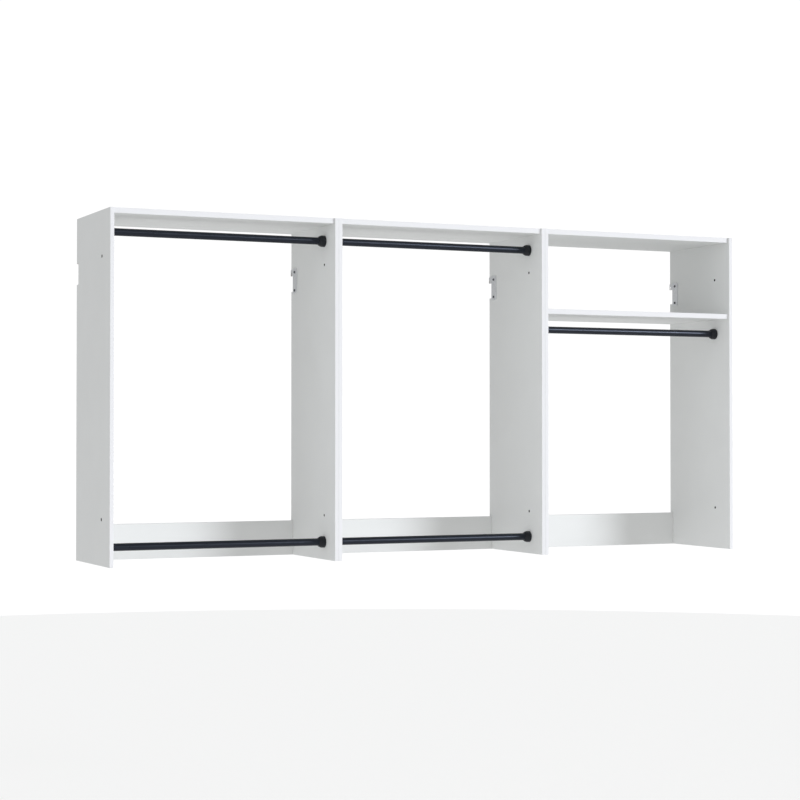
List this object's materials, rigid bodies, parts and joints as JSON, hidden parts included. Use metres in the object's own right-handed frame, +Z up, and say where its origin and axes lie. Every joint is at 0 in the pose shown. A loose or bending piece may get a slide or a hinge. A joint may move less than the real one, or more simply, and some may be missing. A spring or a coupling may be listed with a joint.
{
  "type": "wall mounted closet system",
  "caption": "Wall hung closet system of three open white melamine units side by side, with top shelves, a lower shelf, low back rails and round black hanging rods in closed cups.",
  "frame": {"origin": "on the wall plane, at the middle of the rear face of the centre unit's back rail, 60 mm above the foot of the units", "axes": "+X to the right along the wall, +Y into the wall, +Z up; the open fronts face -Y"},
  "size_m": [2.3696, 0.4, 1.15],
  "materials": {
    "white_melamine": "white melamine faced particle board, fine satin texture, banded front edges",
    "black_steel": "satin black powder coated steel tube",
    "black_plastic": "moulded black plastic, fine matt",
    "zinc_steel": "zinc plated pressed sheet steel",
    "screw_steel": "zinc plated wood screw with a cross recess"
  },
  "bodies": {
    "frame": {"unit_1_left_panel": "white_melamine", "unit_1_right_panel": "white_melamine", "unit_1_top_shelf": "white_melamine", "unit_1_back_rail": "white_melamine", "unit_1_upper_rod_left_cup": "black_plastic", "unit_1_upper_rod_left_cup_screw": "screw_steel", "unit_1_upper_rod_right_cup": "black_plastic", "unit_1_upper_rod_right_cup_screw": "screw_steel", "unit_1_lower_rod_left_cup": "black_plastic", "unit_1_lower_rod_left_cup_screw": "screw_steel", "unit_1_lower_rod_right_cup": "black_plastic", "unit_1_lower_rod_right_cup_screw": "screw_steel", "unit_1_left_bracket": "zinc_steel", "unit_1_left_bracket_upper_screw": "screw_steel", "unit_1_left_bracket_lower_screw": "screw_steel", "unit_1_right_bracket": "zinc_steel", "unit_1_right_bracket_upper_screw": "screw_steel", "unit_1_right_bracket_lower_screw": "screw_steel", "unit_2_left_panel": "white_melamine", "unit_2_right_panel": "white_melamine", "unit_2_top_shelf": "white_melamine", "unit_2_back_rail": "white_melamine", "unit_2_upper_rod_left_cup": "black_plastic", "unit_2_upper_rod_left_cup_screw": "screw_steel", "unit_2_upper_rod_right_cup": "black_plastic", "unit_2_upper_rod_right_cup_screw": "screw_steel", "unit_2_lower_rod_left_cup": "black_plastic", "unit_2_lower_rod_left_cup_screw": "screw_steel", "unit_2_lower_rod_right_cup": "black_plastic", "unit_2_lower_rod_right_cup_screw": "screw_steel", "unit_2_left_bracket": "zinc_steel", "unit_2_left_bracket_upper_screw": "screw_steel", "unit_2_left_bracket_lower_screw": "screw_steel", "unit_2_right_bracket": "zinc_steel", "unit_2_right_bracket_upper_screw": "screw_steel", "unit_2_right_bracket_lower_screw": "screw_steel", "unit_3_left_panel": "white_melamine", "unit_3_right_panel": "white_melamine", "unit_3_top_shelf": "white_melamine", "unit_3_lower_shelf": "white_melamine", "unit_3_back_rail": "white_melamine", "unit_3_rod_left_cup": "black_plastic", "unit_3_rod_left_cup_screw": "screw_steel", "unit_3_rod_right_cup": "black_plastic", "unit_3_rod_right_cup_screw": "screw_steel", "unit_3_left_bracket": "zinc_steel", "unit_3_left_bracket_upper_screw": "screw_steel", "unit_3_left_bracket_lower_screw": "screw_steel", "unit_3_right_bracket": "zinc_steel", "unit_3_right_bracket_upper_screw": "screw_steel", "unit_3_right_bracket_lower_screw": "screw_steel"},
    "unit_1_upper_rod_tube": {"unit_1_upper_rod": "black_steel"},
    "unit_1_lower_rod_tube": {"unit_1_lower_rod": "black_steel"},
    "unit_2_upper_rod_tube": {"unit_2_upper_rod": "black_steel"},
    "unit_2_lower_rod_tube": {"unit_2_lower_rod": "black_steel"},
    "unit_3_rod_tube": {"unit_3_rod": "black_steel"}
  },
  "joints": [
    {"name": "unit_1_upper_rod_turn", "type": "hinge", "parent": "frame", "child": "unit_1_upper_rod_tube", "pos_m": [-0.79, -0.305, 1.02], "axis": [1, 0, 0], "continuous": true},
    {"name": "unit_1_lower_rod_turn", "type": "hinge", "parent": "frame", "child": "unit_1_lower_rod_tube", "pos_m": [-0.79, -0.305, 0], "axis": [1, 0, 0], "continuous": true},
    {"name": "unit_2_upper_rod_turn", "type": "hinge", "parent": "frame", "child": "unit_2_upper_rod_tube", "pos_m": [0, -0.305, 1.02], "axis": [1, 0, 0], "continuous": true},
    {"name": "unit_2_lower_rod_turn", "type": "hinge", "parent": "frame", "child": "unit_2_lower_rod_tube", "pos_m": [0, -0.305, 0], "axis": [1, 0, 0], "continuous": true},
    {"name": "unit_3_rod_turn", "type": "hinge", "parent": "frame", "child": "unit_3_rod_tube", "pos_m": [0.79, -0.305, 0.738], "axis": [1, 0, 0], "continuous": true}
  ]
}
